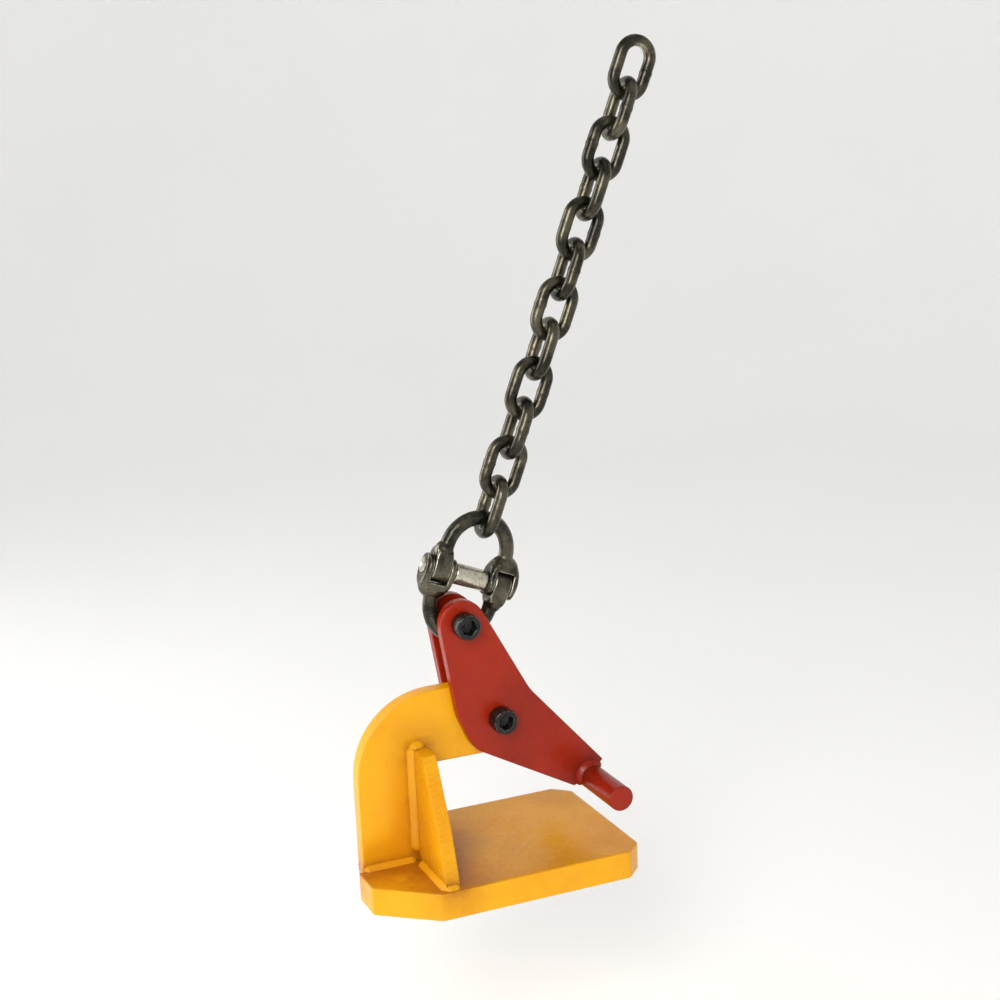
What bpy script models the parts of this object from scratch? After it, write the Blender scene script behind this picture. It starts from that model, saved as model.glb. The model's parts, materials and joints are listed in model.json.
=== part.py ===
"""Plate lifting clamp on its chain leg.

A welded yellow C-shaped body holds the edge of a steel plate.  A red two-plate
lever turns on a bolt through the body's nose and presses a round bar down on
the plate.  A two-part connecting link joins the lever's top bolt to the leg of
round-link chain that pulls on it.

Frame: metres, +Z up, +X from the body's back into its throat, +Y across the
jaw.  The origin is the bearing point at the top of the highest chain link.
The leg slopes down and back from there, as it does under a spread load.
"""

from math import acos, atan2, cos, pi, radians, sin

import bmesh
import bpy
from mathutils import Matrix, Vector

NAME = "plate_lifting_clamp"

# ---------------------------------------------------------------- dimensions
TOUCH = 0.0003                 # gap kept where two pieces bear on each other
TO_Y = Matrix.Rotation(radians(90), 4, "X")    # an outline drawn in X-Y stands in X-Z

# chain leg
LEAN = radians(22.1)           # slope of the leg away from the vertical, towards +X
CHAIN_LINKS = 12
CHAIN_WIRE = 0.0086            # wire diameter
CHAIN_PITCH = 0.0283           # one link's inner length, less its bearing gap
CHAIN_WIDTH = 0.0308           # over both wires

# two-part connecting link
HALF_WIRE = 0.0104             # bow diameter
HALF_INNER = 0.0368            # load pin's axis to the inside of the bow
HALF_WIDTH = 0.0555            # over the bow
PIN_DIA = 0.0100
PIN_LENGTH = 0.0725
SLEEVE_DIA = 0.0150
SLEEVE_LENGTH = 0.0242
EYE_RADIUS = 0.0092
EYE_OPENING = 30               # degrees above level at which an eye's round meets its neck
TONGUE_NECK = 0.0143           # height of the tongue above the pin's axis
FORK_NECK = 0.0160
BOW_SPRING = 0.42              # height at which the bow starts to round, as a share of its own
EAR_WIDTH = 0.0048             # each ear of the fork
EYE_WIDTH = 0.0124             # the tongue between two ears

# bolts
BOLT_DIA = 0.0120
BOLT_FIT = 0.0003              # radial clearance of a bolt in its hole
HEAD_DIA = 0.0180
HEAD_HEIGHT = 0.0118
SOCKET_FLATS = 0.0100
SOCKET_DEPTH = 0.0060
NUT_FLATS = 0.0180
NUT_HEIGHT = 0.0100
BOLT_PROUD = 0.0020            # shank that stands out of its nut
WASHER_DIA = 0.0240
WASHER_THICK = 0.0025

# lever, measured from the pivot bolt
LEVER_PLATE = 0.0080           # thickness of each plate
LEVER_GAP = 0.0130             # space between the plates
SHACKLE = Vector((-0.0240, 0.0720))
LOBE_RADIUS = 0.0165           # plate round the shackle bolt
LEVER_BACK = Vector((-0.0305, 0.0050))
LEVER_HEEL = Vector((-0.0200, -0.0195))
HEEL_RADIUS = 0.0140
LEVER_KNEE = Vector((0.0240, 0.0170))
TIP_LOW = Vector((0.0560, -0.0620))
TIP_HIGH = Vector((0.0790, -0.0460))
BAR_CENTRE = Vector((0.0690, -0.0570))
BAR_DIA = 0.0180
BAR_LENGTH = 0.1250

# welded body, measured from the pivot bolt
BODY_PLATE = 0.0120            # thickness of the C-shaped plate
BACK_X = -0.1030
STOP_X = -0.0530               # face that the steel plate's edge meets
CROWN_Z = 0.0255               # top of the body
ARM_UNDER_Z = -0.0270          # underside of the upper arm
SEAT_Z = -0.0960               # top of the base
SHOULDER_RADIUS = 0.0570
BUSH_DIA = 0.0180
BASE_THICK = 0.0200
BASE_BACK_X = -0.1070
BASE_FRONT = 0.0850
BASE_WIDTH = 0.1310
BACK_NEAR_Y = -0.0340          # where the near half's back edge ends and its corner is cut off
CHAMFER_X = -0.0680            # where the base reaches its full width
FRONT_CORNER = 0.0120
GUSSET_THICK = 0.0100
GUSSET_TOP_Z = -0.0130
GUSSET_TOP_WIDTH = 0.0200
GUSSET_KNEE = Vector((0.0490, -0.0580))
GUSSET_FOOT = 0.0615           # reach of a gusset across the base, from the middle plane
COPE_RADIUS = 0.0080           # weld access hole in a gusset's inner corner

SHARP_ANGLE = radians(35)      # an edge bent more than this is shaded sharp
WELD_DISTANCE = 0.00001        # vertices nearer than this are one
CHAIN_POINTS = 10              # points round each end of a chain link
BOW_POINTS = 16                # points round the bow of a link half
ROUND_SIDES = 24

COLOURS = {                    # base colour, roughness, metallic
    "yellow_enamel": ((0.90, 0.50, 0.035, 1), 0.32, 0.0),
    "red_enamel": ((0.48, 0.035, 0.018, 1), 0.34, 0.0),
    "black_bolt": ((0.022, 0.022, 0.024, 1), 0.38, 0.8),
    "dark_chain": ((0.060, 0.056, 0.036, 1), 0.36, 0.8),
    "bronze_bush": ((0.42, 0.24, 0.08, 1), 0.40, 1.0),
}


# ------------------------------------------------------------------- helpers
def clear_scene():
    for obj in list(bpy.data.objects):
        bpy.data.objects.remove(obj, do_unlink=True)


def new_collection(name):
    coll = bpy.data.collections.new(name)
    bpy.context.scene.collection.children.link(coll)
    return coll


def make_material(slot):
    colour, roughness, metallic = COLOURS[slot]
    mat = bpy.data.materials.new(slot)
    mat.use_nodes = True
    shader = mat.node_tree.nodes["Principled BSDF"]
    shader.inputs["Base Color"].default_value = colour
    shader.inputs["Roughness"].default_value = roughness
    shader.inputs["Metallic"].default_value = metallic
    return mat


def add_empty(name, parent, place=(0, 0, 0), turn=(0, 0, 0)):
    empty = bpy.data.objects.new(name, None)
    empty.empty_display_size = 0.01
    PARTS.objects.link(empty)
    empty.parent = parent
    empty.location = place
    empty.rotation_euler = turn
    return empty


def add_part(name, data, slot, parent, place=(0, 0, 0), turn=(0, 0, 0)):
    obj = bpy.data.objects.new(name, data)
    PARTS.objects.link(obj)
    obj.parent = parent
    obj.location = place
    obj.rotation_euler = turn
    if not data.materials:
        data.materials.append(MATERIALS[slot])
    return obj


def mesh_from(bm, name):
    mesh = bpy.data.meshes.new(name)
    bm.to_mesh(mesh)
    bm.free()
    mesh.shade_smooth()
    mesh.set_sharp_from_angle(angle=SHARP_ANGLE)
    return mesh


def mesh_of_curve(curve, name):
    """A curve's own surface as one welded mesh; the curve is removed."""
    holder = bpy.data.objects.new(name, curve)
    PARTS.objects.link(holder)
    graph = bpy.context.evaluated_depsgraph_get()
    mesh = bpy.data.meshes.new_from_object(holder.evaluated_get(graph))
    bpy.data.objects.remove(holder, do_unlink=True)
    bpy.data.curves.remove(curve)
    bm = bmesh.new()
    bm.from_mesh(mesh)
    bpy.data.meshes.remove(mesh)
    bmesh.ops.remove_doubles(bm, verts=bm.verts, dist=WELD_DISTANCE)
    return mesh_from(bm, name)


def wire_curve(points, diameter, cyclic, name, bevel=2):
    """A round wire through points, as a POLY spline."""
    curve = bpy.data.curves.new(name, "CURVE")
    curve.dimensions = "3D"
    curve.bevel_depth = diameter / 2
    curve.bevel_resolution = bevel
    curve.use_fill_caps = not cyclic
    spline = curve.splines.new("POLY")
    spline.points.add(len(points) - 1)
    spline.use_cyclic_u = cyclic
    for point, place in zip(spline.points, points):
        point.co = (*place, 1)
    return curve


def plate_mesh(loops, thickness, name):
    """A flat plate in X-Y, its outline first and then its holes, centred on Z."""
    curve = bpy.data.curves.new(name, "CURVE")
    curve.dimensions = "2D"
    curve.fill_mode = "BOTH"
    curve.extrude = thickness / 2
    for loop in loops:
        spline = curve.splines.new("POLY")
        spline.points.add(len(loop) - 1)
        spline.use_cyclic_u = True
        for point, place in zip(spline.points, loop):
            point.co = (place[0], place[1], 0, 1)
    return mesh_of_curve(curve, name)


def arc(centre, radius, start, end, steps):
    """Points on an arc, in degrees, both ends included."""
    angles = [radians(start + (end - start) * i / steps) for i in range(steps + 1)]
    return [Vector((centre[0] + radius * cos(a), centre[1] + radius * sin(a))) for a in angles]


def circle(centre, radius, steps=ROUND_SIDES):
    return arc(centre, radius, 0, 360, steps)[:-1]


def rounded(before, corner, after, radius, steps=4):
    """A corner of an outline replaced by a tangent arc of this radius."""
    one = (before - corner).normalized()
    two = (after - corner).normalized()
    half = acos(max(-1, min(1, one.dot(two)))) / 2
    centre = corner + (one + two).normalized() * radius / sin(half)
    reach = radius * cos(half) / sin(half)
    first = corner + one * reach - centre
    last = corner + two * reach - centre
    start = atan2(first.y, first.x)
    sweep = (atan2(last.y, last.x) - start + pi) % (2 * pi) - pi
    angles = [start + sweep * i / steps for i in range(steps + 1)]
    return [centre + radius * Vector((cos(a), sin(a))) for a in angles]


def cylinder(bm, diameter, low, high, sides=ROUND_SIDES):
    """A closed cylinder along Z from low to high, added to bm."""
    place = Matrix.Translation((0, 0, (low + high) / 2))
    bmesh.ops.create_cone(
        bm, cap_ends=True, segments=sides, radius1=diameter / 2, radius2=diameter / 2,
        depth=high - low, matrix=place)


def cylinder_mesh(diameter, low, high, name, sides=ROUND_SIDES):
    bm = bmesh.new()
    cylinder(bm, diameter, low, high, sides)
    return mesh_from(bm, name)


def ring_mesh(outer, inner, length, name, sides=ROUND_SIDES):
    """A ring round Z, centred on the origin."""
    return plate_mesh([circle((0, 0), outer / 2, sides), circle((0, 0), inner / 2, sides)], length, name)


def tool_body(mesh, name, matrix):
    """An object that only cuts or joins, kept out of the model."""
    obj = bpy.data.objects.new(name, mesh)
    CUTTERS.objects.link(obj)
    obj.matrix_world = matrix
    obj.display_type = "WIRE"
    obj.hide_render = True
    return obj


def combine(obj, tools):
    """The mesh of obj after one exact Boolean for each tool; obj is removed."""
    for operation, tool in tools:
        mod = obj.modifiers.new(operation.lower(), "BOOLEAN")
        mod.operation = operation
        mod.solver = "EXACT"
        mod.object = tool
    bpy.context.view_layer.update()
    graph = bpy.context.evaluated_depsgraph_get()
    mesh = bpy.data.meshes.new_from_object(obj.evaluated_get(graph))
    bm = bmesh.new()
    bm.from_mesh(mesh)
    bpy.data.meshes.remove(mesh)
    bmesh.ops.remove_doubles(bm, verts=bm.verts, dist=WELD_DISTANCE)
    bmesh.ops.dissolve_degenerate(bm, edges=bm.edges, dist=WELD_DISTANCE)
    result = mesh_from(bm, obj.name)
    result.materials.clear()
    bpy.data.objects.remove(obj, do_unlink=True)
    return result


# ----------------------------------------------------------------- chain leg
def chain_link_curve():
    """One link: two straight sides and two round ends, in X-Z."""
    bend = (CHAIN_WIDTH - CHAIN_WIRE) / 2
    inner = CHAIN_PITCH + TOUCH
    rise = inner / 2 + CHAIN_WIRE / 2 - bend
    top = arc((0, rise), bend, 0, 180, CHAIN_POINTS)
    foot = arc((0, -rise), bend, 180, 360, CHAIN_POINTS)
    return wire_curve([(p.x, 0, p.y) for p in top + foot], CHAIN_WIRE, True, "chain_link")


def link_joint_depth(number):
    """Depth below the eye of the axis on which a link swings from the one above it."""
    bearing = (CHAIN_LINKS - number) * CHAIN_PITCH
    in_plane = number % 2 == 0
    return bearing - CHAIN_WIRE / 2 if in_plane else bearing + CHAIN_WIRE / 2


def build_chain(leg):
    """Links 12 to 1 down the leg; even ones lie in the X-Z plane, odd ones across it."""
    curve = chain_link_curve()
    parent, hung = leg, 0.0
    for number in range(CHAIN_LINKS, 0, -1):
        depth = link_joint_depth(number) if number < CHAIN_LINKS else 0.0
        joint = add_empty(f"link_joint_{number:02d}", parent, (0, 0, hung - depth))
        middle = (CHAIN_LINKS - number) * CHAIN_PITCH + (CHAIN_PITCH + TOUCH) / 2
        turn = (0, 0, 0 if number % 2 == 0 else radians(90))
        add_part(f"chain_link_{number:02d}", curve, "dark_chain", joint, (0, 0, depth - middle), turn)
        parent, hung = joint, depth
    return parent, hung


# ----------------------------------------------------------- connecting link
def bow_points():
    """The bow's centre line above the pin, from one limb's foot to the other's."""
    half = (HALF_WIDTH - HALF_WIRE) / 2
    crown = HALF_INNER + HALF_WIRE / 2
    spring = BOW_SPRING * crown
    foot = EYE_RADIUS + 4 * TOUCH
    bend = [(half * cos(pi * i / BOW_POINTS), 0, spring + (crown - spring) * sin(pi * i / BOW_POINTS))
            for i in range(BOW_POINTS + 1)]
    return [(half, 0, foot)] + bend + [(-half, 0, foot)]


def lug_outline(neck):
    """An eye round the pin with its neck running up, in Y-Z drawn as X-Y."""
    eye = arc((0, 0), EYE_RADIUS, 180 - EYE_OPENING, 360 + EYE_OPENING, 12)
    side = EYE_RADIUS * cos(radians(EYE_OPENING))
    return eye + [Vector((side, neck)), Vector((-side, neck))]


def link_half_mesh(name):
    """One half, its fork at +X and its tongue at -X, the pin's axis along X at the origin."""
    middle = SLEEVE_LENGTH / 2 + TOUCH + EAR_WIDTH + TOUCH + EYE_WIDTH / 2
    fork_width = EYE_WIDTH + 2 * (EAR_WIDTH + TOUCH)
    along_x = Matrix.Rotation(radians(90), 4, "Z") @ TO_Y
    fork = tool_body(plate_mesh([lug_outline(FORK_NECK)], fork_width, "fork"), "fork_" + name,
                     Matrix.Translation((middle, 0, 0)) @ along_x)
    tongue = tool_body(plate_mesh([lug_outline(TONGUE_NECK)], EYE_WIDTH, "tongue"), "tongue_" + name,
                       Matrix.Translation((-middle, 0, 0)) @ along_x)
    slot_box = bmesh.new()
    slot_width = EYE_WIDTH + 2 * TOUCH
    slot_top = EYE_RADIUS + TOUCH
    bmesh.ops.create_cube(slot_box, size=1)
    bmesh.ops.scale(slot_box, vec=(slot_width, 4 * EYE_RADIUS, 2 * slot_top), verts=slot_box.verts)
    slot = tool_body(mesh_from(slot_box, "slot"), "slot_" + name, Matrix.Translation((middle, 0, 0)))
    drill = tool_body(cylinder_mesh(PIN_DIA + 2 * BOLT_FIT, -PIN_LENGTH, PIN_LENGTH, "drill"),
                      "drill_" + name, Matrix.Rotation(radians(90), 4, "Y"))
    bow = bpy.data.objects.new(name, mesh_of_curve(
        wire_curve(bow_points(), HALF_WIRE, False, "bow", bevel=3), name))
    PARTS.objects.link(bow)
    return combine(bow, [("UNION", fork), ("UNION", tongue), ("DIFFERENCE", slot), ("DIFFERENCE", drill)])


def build_connecting_link(chain_end, hung):
    """Both halves, their load pin and its sleeve; returns the lever's joint."""
    bow_depth = CHAIN_LINKS * CHAIN_PITCH - HALF_WIRE / 2
    pin_depth = CHAIN_LINKS * CHAIN_PITCH + HALF_INNER
    bolt_depth = pin_depth + HALF_INNER - BOLT_DIA / 2 - TOUCH
    swing = add_empty("link_swing", chain_end, (0, 0, hung - bow_depth))
    pin_at = (0, 0, bow_depth - pin_depth)
    half = link_half_mesh("link_half")
    add_part("link_half_upper", half, "dark_chain", swing, pin_at)
    across = (0, radians(90), 0)
    pin = cylinder_mesh(PIN_DIA, -PIN_LENGTH / 2, PIN_LENGTH / 2, "link_load_pin")
    add_part("link_load_pin", pin, "dark_chain", swing, pin_at, across)
    sleeve = ring_mesh(SLEEVE_DIA, PIN_DIA + 2 * TOUCH, SLEEVE_LENGTH, "link_pin_sleeve")
    add_part("link_pin_sleeve", sleeve, "dark_chain", swing, pin_at, across)
    fold = add_empty("link_fold", swing, pin_at)
    add_part("link_half_lower", half, "dark_chain", fold, turn=(0, radians(180), 0))
    upright = (0, -LEAN, 0)
    return add_empty("lever_swing", fold, (0, 0, pin_depth - bolt_depth), upright)


# -------------------------------------------------------------------- bolts
def bolt_mesh(name):
    """A socket-head bolt along Z: its head's underside at 0, its shank going to +Z."""
    shank = LEVER_GAP + 2 * LEVER_PLATE + WASHER_THICK + NUT_HEIGHT + 4 * TOUCH + BOLT_PROUD
    bm = bmesh.new()
    cylinder(bm, HEAD_DIA, -HEAD_HEIGHT, 0)
    head = bpy.data.objects.new(name, mesh_from(bm, name))
    PARTS.objects.link(head)
    stem = tool_body(cylinder_mesh(BOLT_DIA, -HEAD_HEIGHT / 4, shank, "stem"), "stem_" + name, Matrix())
    key = bmesh.new()
    cylinder(key, SOCKET_FLATS / cos(radians(30)), -2 * HEAD_HEIGHT, SOCKET_DEPTH - HEAD_HEIGHT, 6)
    socket = tool_body(mesh_from(key, "socket"), "socket_" + name, Matrix())
    return combine(head, [("UNION", stem), ("DIFFERENCE", socket)])


def build_bolts(lever):
    """The shackle bolt and the pivot bolt, each with its washer and nut on the far side."""
    outside = LEVER_GAP / 2 + LEVER_PLATE + TOUCH
    along_y = (radians(-90), 0, 0)
    hole = BOLT_DIA + 2 * TOUCH
    bolt = bolt_mesh("bolt")
    washer = ring_mesh(WASHER_DIA, hole, WASHER_THICK, "washer")
    flats = NUT_FLATS / 2 / cos(radians(30))
    nut = plate_mesh([circle((0, 0), flats, 6), circle((0, 0), hole / 2)], NUT_HEIGHT, "nut")
    washer_y = outside + WASHER_THICK / 2
    nut_y = outside + WASHER_THICK + TOUCH + NUT_HEIGHT / 2
    for name, spot in (("shackle", Vector((0, 0))), ("pivot", -SHACKLE)):
        add_part(name + "_bolt", bolt, "black_bolt", lever, (spot.x, -outside, spot.y), along_y)
        add_part(name + "_washer", washer, "black_bolt", lever, (spot.x, washer_y, spot.y), along_y)
        add_part(name + "_nut", nut, "black_bolt", lever, (spot.x, nut_y, spot.y), along_y)


# -------------------------------------------------------------------- lever
def tangent_point(centre, radius, target, side):
    """Where a line from target touches a circle, on its left (+1) or right (-1)."""
    away = centre - target
    swing = atan2(away.y, away.x)
    lean = side * acos(radius / away.length)
    angle = swing + pi - lean
    return centre + radius * Vector((cos(angle), sin(angle)))


def saddle(start, end):
    """The cut that seats a plate's tip on the bar, from start round to end."""
    radius = BAR_DIA / 2 + TOUCH
    way = (end - start).normalized()
    foot = start + way * (BAR_CENTRE - start).dot(way)
    reach = (radius ** 2 - (BAR_CENTRE - foot).length_squared) ** 0.5
    first = foot - way * reach - BAR_CENTRE
    last = foot + way * reach - BAR_CENTRE
    one = atan2(first.y, first.x)
    sweep = (atan2(last.y, last.x) - one) % (2 * pi) - 2 * pi
    angles = [one + sweep * i / 10 for i in range(11)]
    return [BAR_CENTRE + radius * Vector((cos(a), sin(a))) for a in angles]


def lever_outline():
    """Anticlockwise from the knee, over the top lobe, down the back and along to the bar."""
    right = tangent_point(SHACKLE, LOBE_RADIUS, LEVER_KNEE, -1)
    left = tangent_point(SHACKLE, LOBE_RADIUS, LEVER_BACK, 1)
    turn_on = atan2(*(right - SHACKLE).yx) * 180 / pi
    turn_off = atan2(*(left - SHACKLE).yx) * 180 / pi % 360
    lobe = arc(SHACKLE, LOBE_RADIUS, turn_on, turn_off, 12)
    heel = rounded(LEVER_BACK, LEVER_HEEL, TIP_LOW, HEEL_RADIUS, 5)
    return [LEVER_KNEE] + lobe + [LEVER_BACK] + heel + [TIP_LOW] + saddle(TIP_LOW, TIP_HIGH) + [TIP_HIGH]


def build_lever(lever):
    """Two side plates and the press bar welded into their tips."""
    hole = BOLT_DIA / 2 + BOLT_FIT
    loops = [[p - SHACKLE for p in lever_outline()], circle((0, 0), hole), circle(-SHACKLE, hole)]
    plate = plate_mesh(loops, LEVER_PLATE, "lever_plate")
    middle = (LEVER_GAP + LEVER_PLATE) / 2
    upright = (radians(90), 0, 0)
    add_part("lever_plate_near", plate, "red_enamel", lever, (0, -middle, 0), upright)
    add_part("lever_plate_far", plate, "red_enamel", lever, (0, middle, 0), upright)
    bar = cylinder_mesh(BAR_DIA, -BAR_LENGTH / 2, BAR_LENGTH / 2, "press_bar", 32)
    spot = BAR_CENTRE - SHACKLE
    add_part("press_bar", bar, "red_enamel", lever, (spot.x, 0, spot.y), upright)


# --------------------------------------------------------------- welded body
def body_outline():
    """Anticlockwise from the back's foot: the front edge, the arm, its nose and the shoulder.

    The foot stands in the base's slot and stops one gap short of the underside.
    """
    foot_z = SEAT_Z - BASE_THICK + TOUCH
    nose = (CROWN_Z - ARM_UNDER_Z) / 2
    nose_z = (CROWN_Z + ARM_UNDER_Z) / 2
    shoulder = (BACK_X + SHOULDER_RADIUS, CROWN_Z - SHOULDER_RADIUS)
    outline = [Vector((BACK_X, foot_z)), Vector((STOP_X, foot_z)), Vector((STOP_X, ARM_UNDER_Z))]
    outline += arc((0, nose_z), nose, -90, 90, 14)
    outline += arc(shoulder, SHOULDER_RADIUS, 90, 180, 12)
    return outline


def base_outline():
    """The base from above, anticlockwise, with the slot that the C plate stands in.

    The far half's back corner is cut off all the way to the slot.
    """
    half = BASE_WIDTH / 2
    slot = BODY_PLATE / 2 + TOUCH
    return [
        Vector((BASE_BACK_X, BACK_NEAR_Y)), Vector((CHAMFER_X, -half)),
        Vector((BASE_FRONT - FRONT_CORNER, -half)), Vector((BASE_FRONT, FRONT_CORNER - half)),
        Vector((BASE_FRONT, half - FRONT_CORNER)), Vector((BASE_FRONT - FRONT_CORNER, half)),
        Vector((CHAMFER_X, half)), Vector((BACK_X, slot)),
        Vector((STOP_X + TOUCH, slot)), Vector((STOP_X + TOUCH, -slot)), Vector((BASE_BACK_X, -slot)),
    ]


def footprint_outline():
    """Where both gussets stand on the base, across the slot, with a gap all round."""
    back, front = STOP_X - GUSSET_THICK - TOUCH, STOP_X + TOUCH
    side = GUSSET_FOOT + TOUCH
    return [Vector((back, -side)), Vector((front, -side)), Vector((front, side)), Vector((back, side))]


def base_mesh():
    """The base, its top sunk by one gap under the gussets so that they stand level with the seat."""
    base = bpy.data.objects.new("base_plate", plate_mesh([base_outline()], BASE_THICK, "base_plate"))
    PARTS.objects.link(base)
    feet = tool_body(plate_mesh([footprint_outline()], 2 * TOUCH, "feet"), "feet",
                     Matrix.Translation((0, 0, BASE_THICK / 2)))
    return combine(base, [("DIFFERENCE", feet)])


def gusset_outline():
    """A gusset in Y-Z, drawn as X-Y, growing from the body plate's face towards +X."""
    inner = BODY_PLATE / 2 + TOUCH
    cope = arc((inner, SEAT_Z), COPE_RADIUS, 0, 90, 5)
    return [Vector((GUSSET_FOOT, SEAT_Z)), GUSSET_KNEE, Vector((inner + GUSSET_TOP_WIDTH, GUSSET_TOP_Z)),
            Vector((inner, GUSSET_TOP_Z))] + list(reversed(cope))


def build_body(jaw):
    """The C plate, the base under it, a gusset each side and the pivot's bush."""
    bush_hole = BUSH_DIA / 2 + TOUCH
    upright = (radians(90), 0, 0)
    body = plate_mesh([body_outline(), circle((0, 0), bush_hole)], BODY_PLATE, "body_plate")
    add_part("body_plate", body, "yellow_enamel", jaw, turn=upright)
    bush = ring_mesh(BUSH_DIA, BOLT_DIA + 2 * BOLT_FIT, BODY_PLATE, "pivot_bush")
    add_part("pivot_bush", bush, "bronze_bush", jaw, turn=upright)
    add_part("base_plate", base_mesh(), "yellow_enamel", jaw, (0, 0, SEAT_Z - BASE_THICK / 2))
    gusset = plate_mesh([gusset_outline()], GUSSET_THICK, "gusset")
    gusset_x = STOP_X - GUSSET_THICK / 2
    add_part("gusset_near", gusset, "yellow_enamel", jaw, (gusset_x, 0, 0), (radians(90), 0, radians(-90)))
    add_part("gusset_far", gusset, "yellow_enamel", jaw, (gusset_x, 0, 0), (radians(90), 0, radians(90)))


# --------------------------------------------------------------------- model
def main():
    leg = add_empty("leg", None, turn=(0, LEAN, 0))
    chain_end, hung = build_chain(leg)
    lever = build_connecting_link(chain_end, hung)
    build_lever(lever)
    build_bolts(lever)
    jaw = add_empty("jaw", lever, (-SHACKLE.x, 0, -SHACKLE.y))
    build_body(jaw)


clear_scene()
PARTS = new_collection(NAME)
CUTTERS = new_collection("cutters")
MATERIALS = {slot: make_material(slot) for slot in COLOURS}
main()
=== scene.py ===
"""The looks of the plate lifting clamp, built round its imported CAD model.

Every steel piece is remade here at a finer grain: rounded and flame-cut plate
edges, weld beads with ripples, forged link halves, chain links with their welds,
knurled bolt heads.  Each rides on the body that its CAD node belongs to.
"""

import json
from math import cos, exp, pi, radians, sin

import bmesh
import bpy
import numpy as np
from mathutils import Matrix, Vector, geometry, noise


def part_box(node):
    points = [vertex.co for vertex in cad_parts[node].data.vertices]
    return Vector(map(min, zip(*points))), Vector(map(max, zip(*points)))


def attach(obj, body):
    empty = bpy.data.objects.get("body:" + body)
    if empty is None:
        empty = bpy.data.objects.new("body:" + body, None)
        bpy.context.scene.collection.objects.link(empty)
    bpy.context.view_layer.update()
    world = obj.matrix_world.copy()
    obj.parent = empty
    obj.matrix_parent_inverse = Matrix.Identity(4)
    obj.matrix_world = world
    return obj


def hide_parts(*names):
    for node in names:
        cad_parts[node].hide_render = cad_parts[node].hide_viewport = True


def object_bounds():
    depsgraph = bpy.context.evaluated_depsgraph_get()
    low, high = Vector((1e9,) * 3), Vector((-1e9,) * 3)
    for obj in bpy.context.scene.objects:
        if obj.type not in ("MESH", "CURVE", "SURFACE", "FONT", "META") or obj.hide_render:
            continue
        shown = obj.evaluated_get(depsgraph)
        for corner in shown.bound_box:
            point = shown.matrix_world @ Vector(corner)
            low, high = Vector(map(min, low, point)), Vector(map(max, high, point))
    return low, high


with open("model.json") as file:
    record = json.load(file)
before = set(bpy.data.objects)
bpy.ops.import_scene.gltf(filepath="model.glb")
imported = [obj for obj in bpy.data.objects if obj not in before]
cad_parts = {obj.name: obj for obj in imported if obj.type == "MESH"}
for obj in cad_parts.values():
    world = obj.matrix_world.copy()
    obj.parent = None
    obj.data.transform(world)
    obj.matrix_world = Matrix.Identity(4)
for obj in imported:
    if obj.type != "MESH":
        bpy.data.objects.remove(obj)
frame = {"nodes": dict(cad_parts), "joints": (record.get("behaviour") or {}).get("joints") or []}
cad_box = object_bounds()

MM = 0.001
Y_AXIS = Vector((0, 1, 0))


# -------------------- places, from the frame
def joint(name):
    return next(j for j in frame["joints"] if j["name"] == name)


def joint_place(name):
    return Vector(joint(name)["pos_m"])


def box_size(node):
    low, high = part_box(node)
    return Vector(high) - Vector(low)


def box_centre(node):
    low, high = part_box(node)
    return (Vector(high) + Vector(low)) / 2


ACROSS = Vector(joint("link_fold")["axis"]).normalized()      # along the load pin
LEG_UP = ACROSS.cross(Y_AXIS)                                 # up the chain
LEG = Matrix((ACROSS, Y_AXIS, LEG_UP)).transposed().to_4x4()

PIVOT = joint_place("jaw")
SHACKLE = joint_place("lever_swing")
PIN = joint_place("link_fold")
BAR = box_centre("press_bar")
BAR_RADIUS = box_size("press_bar").z / 2

CHAIN_LINKS = 12
CHAIN_WIRE = box_size("chain_link_12").y
CHAIN_WIDTH = box_size("chain_link_11").y
CHAIN_PITCH = (joint_place("chain_swing_09") - joint_place("chain_swing_11")).length / 2

LEVER_FACE = -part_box("lever_plate_near")[0][1]                # half the width over both plates
LEVER_GAP = -2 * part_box("lever_plate_near")[1][1]
BODY_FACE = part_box("body_plate")[1][1]
BACK_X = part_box("body_plate")[0][0]
SEAT_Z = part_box("base_plate")[1][2]
BASE_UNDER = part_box("base_plate")[0][2]
GUSSET_BACK, GUSSET_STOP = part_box("gusset_near")[0][0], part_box("gusset_near")[1][0]
GUSSET_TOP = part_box("gusset_near")[1][2]
GUSSET_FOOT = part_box("gusset_far")[1][1]
COPE = 8 * MM                                                 # radius cut off the gussets' inner corner

HALF_WIRE = 10.4 * MM
HALF_INNER = 36.8 * MM
HALF_WIDTH = 55.5 * MM
PIN_RADIUS = 5.0 * MM
SLEEVE_LENGTH = 24.2 * MM
EYE_RADIUS = 9.2 * MM
EAR = 4.8 * MM
TONGUE = 12.4 * MM
FIT = 0.3 * MM


# -------------------- mesh helpers
def new_object(name, mesh):
    obj = bpy.data.objects.new(name, mesh)
    bpy.context.scene.collection.objects.link(obj)
    return obj


def make_mesh(name, verts, faces, smooth_angle=35):
    mesh = bpy.data.meshes.new(name)
    mesh.from_pydata([tuple(v) for v in verts], [], faces)
    mesh.validate()
    mesh.shade_smooth()
    mesh.set_sharp_from_angle(angle=radians(smooth_angle))
    return mesh


def closed_mesh(name, verts, faces, smooth_angle=35):
    """A closed mesh with its faces turned outward."""
    mesh = make_mesh(name, verts, faces, smooth_angle)
    bm = bmesh.new()
    bm.from_mesh(mesh)
    bmesh.ops.recalc_face_normals(bm, faces=bm.faces)
    bm.to_mesh(mesh)
    bm.free()
    return mesh


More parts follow.
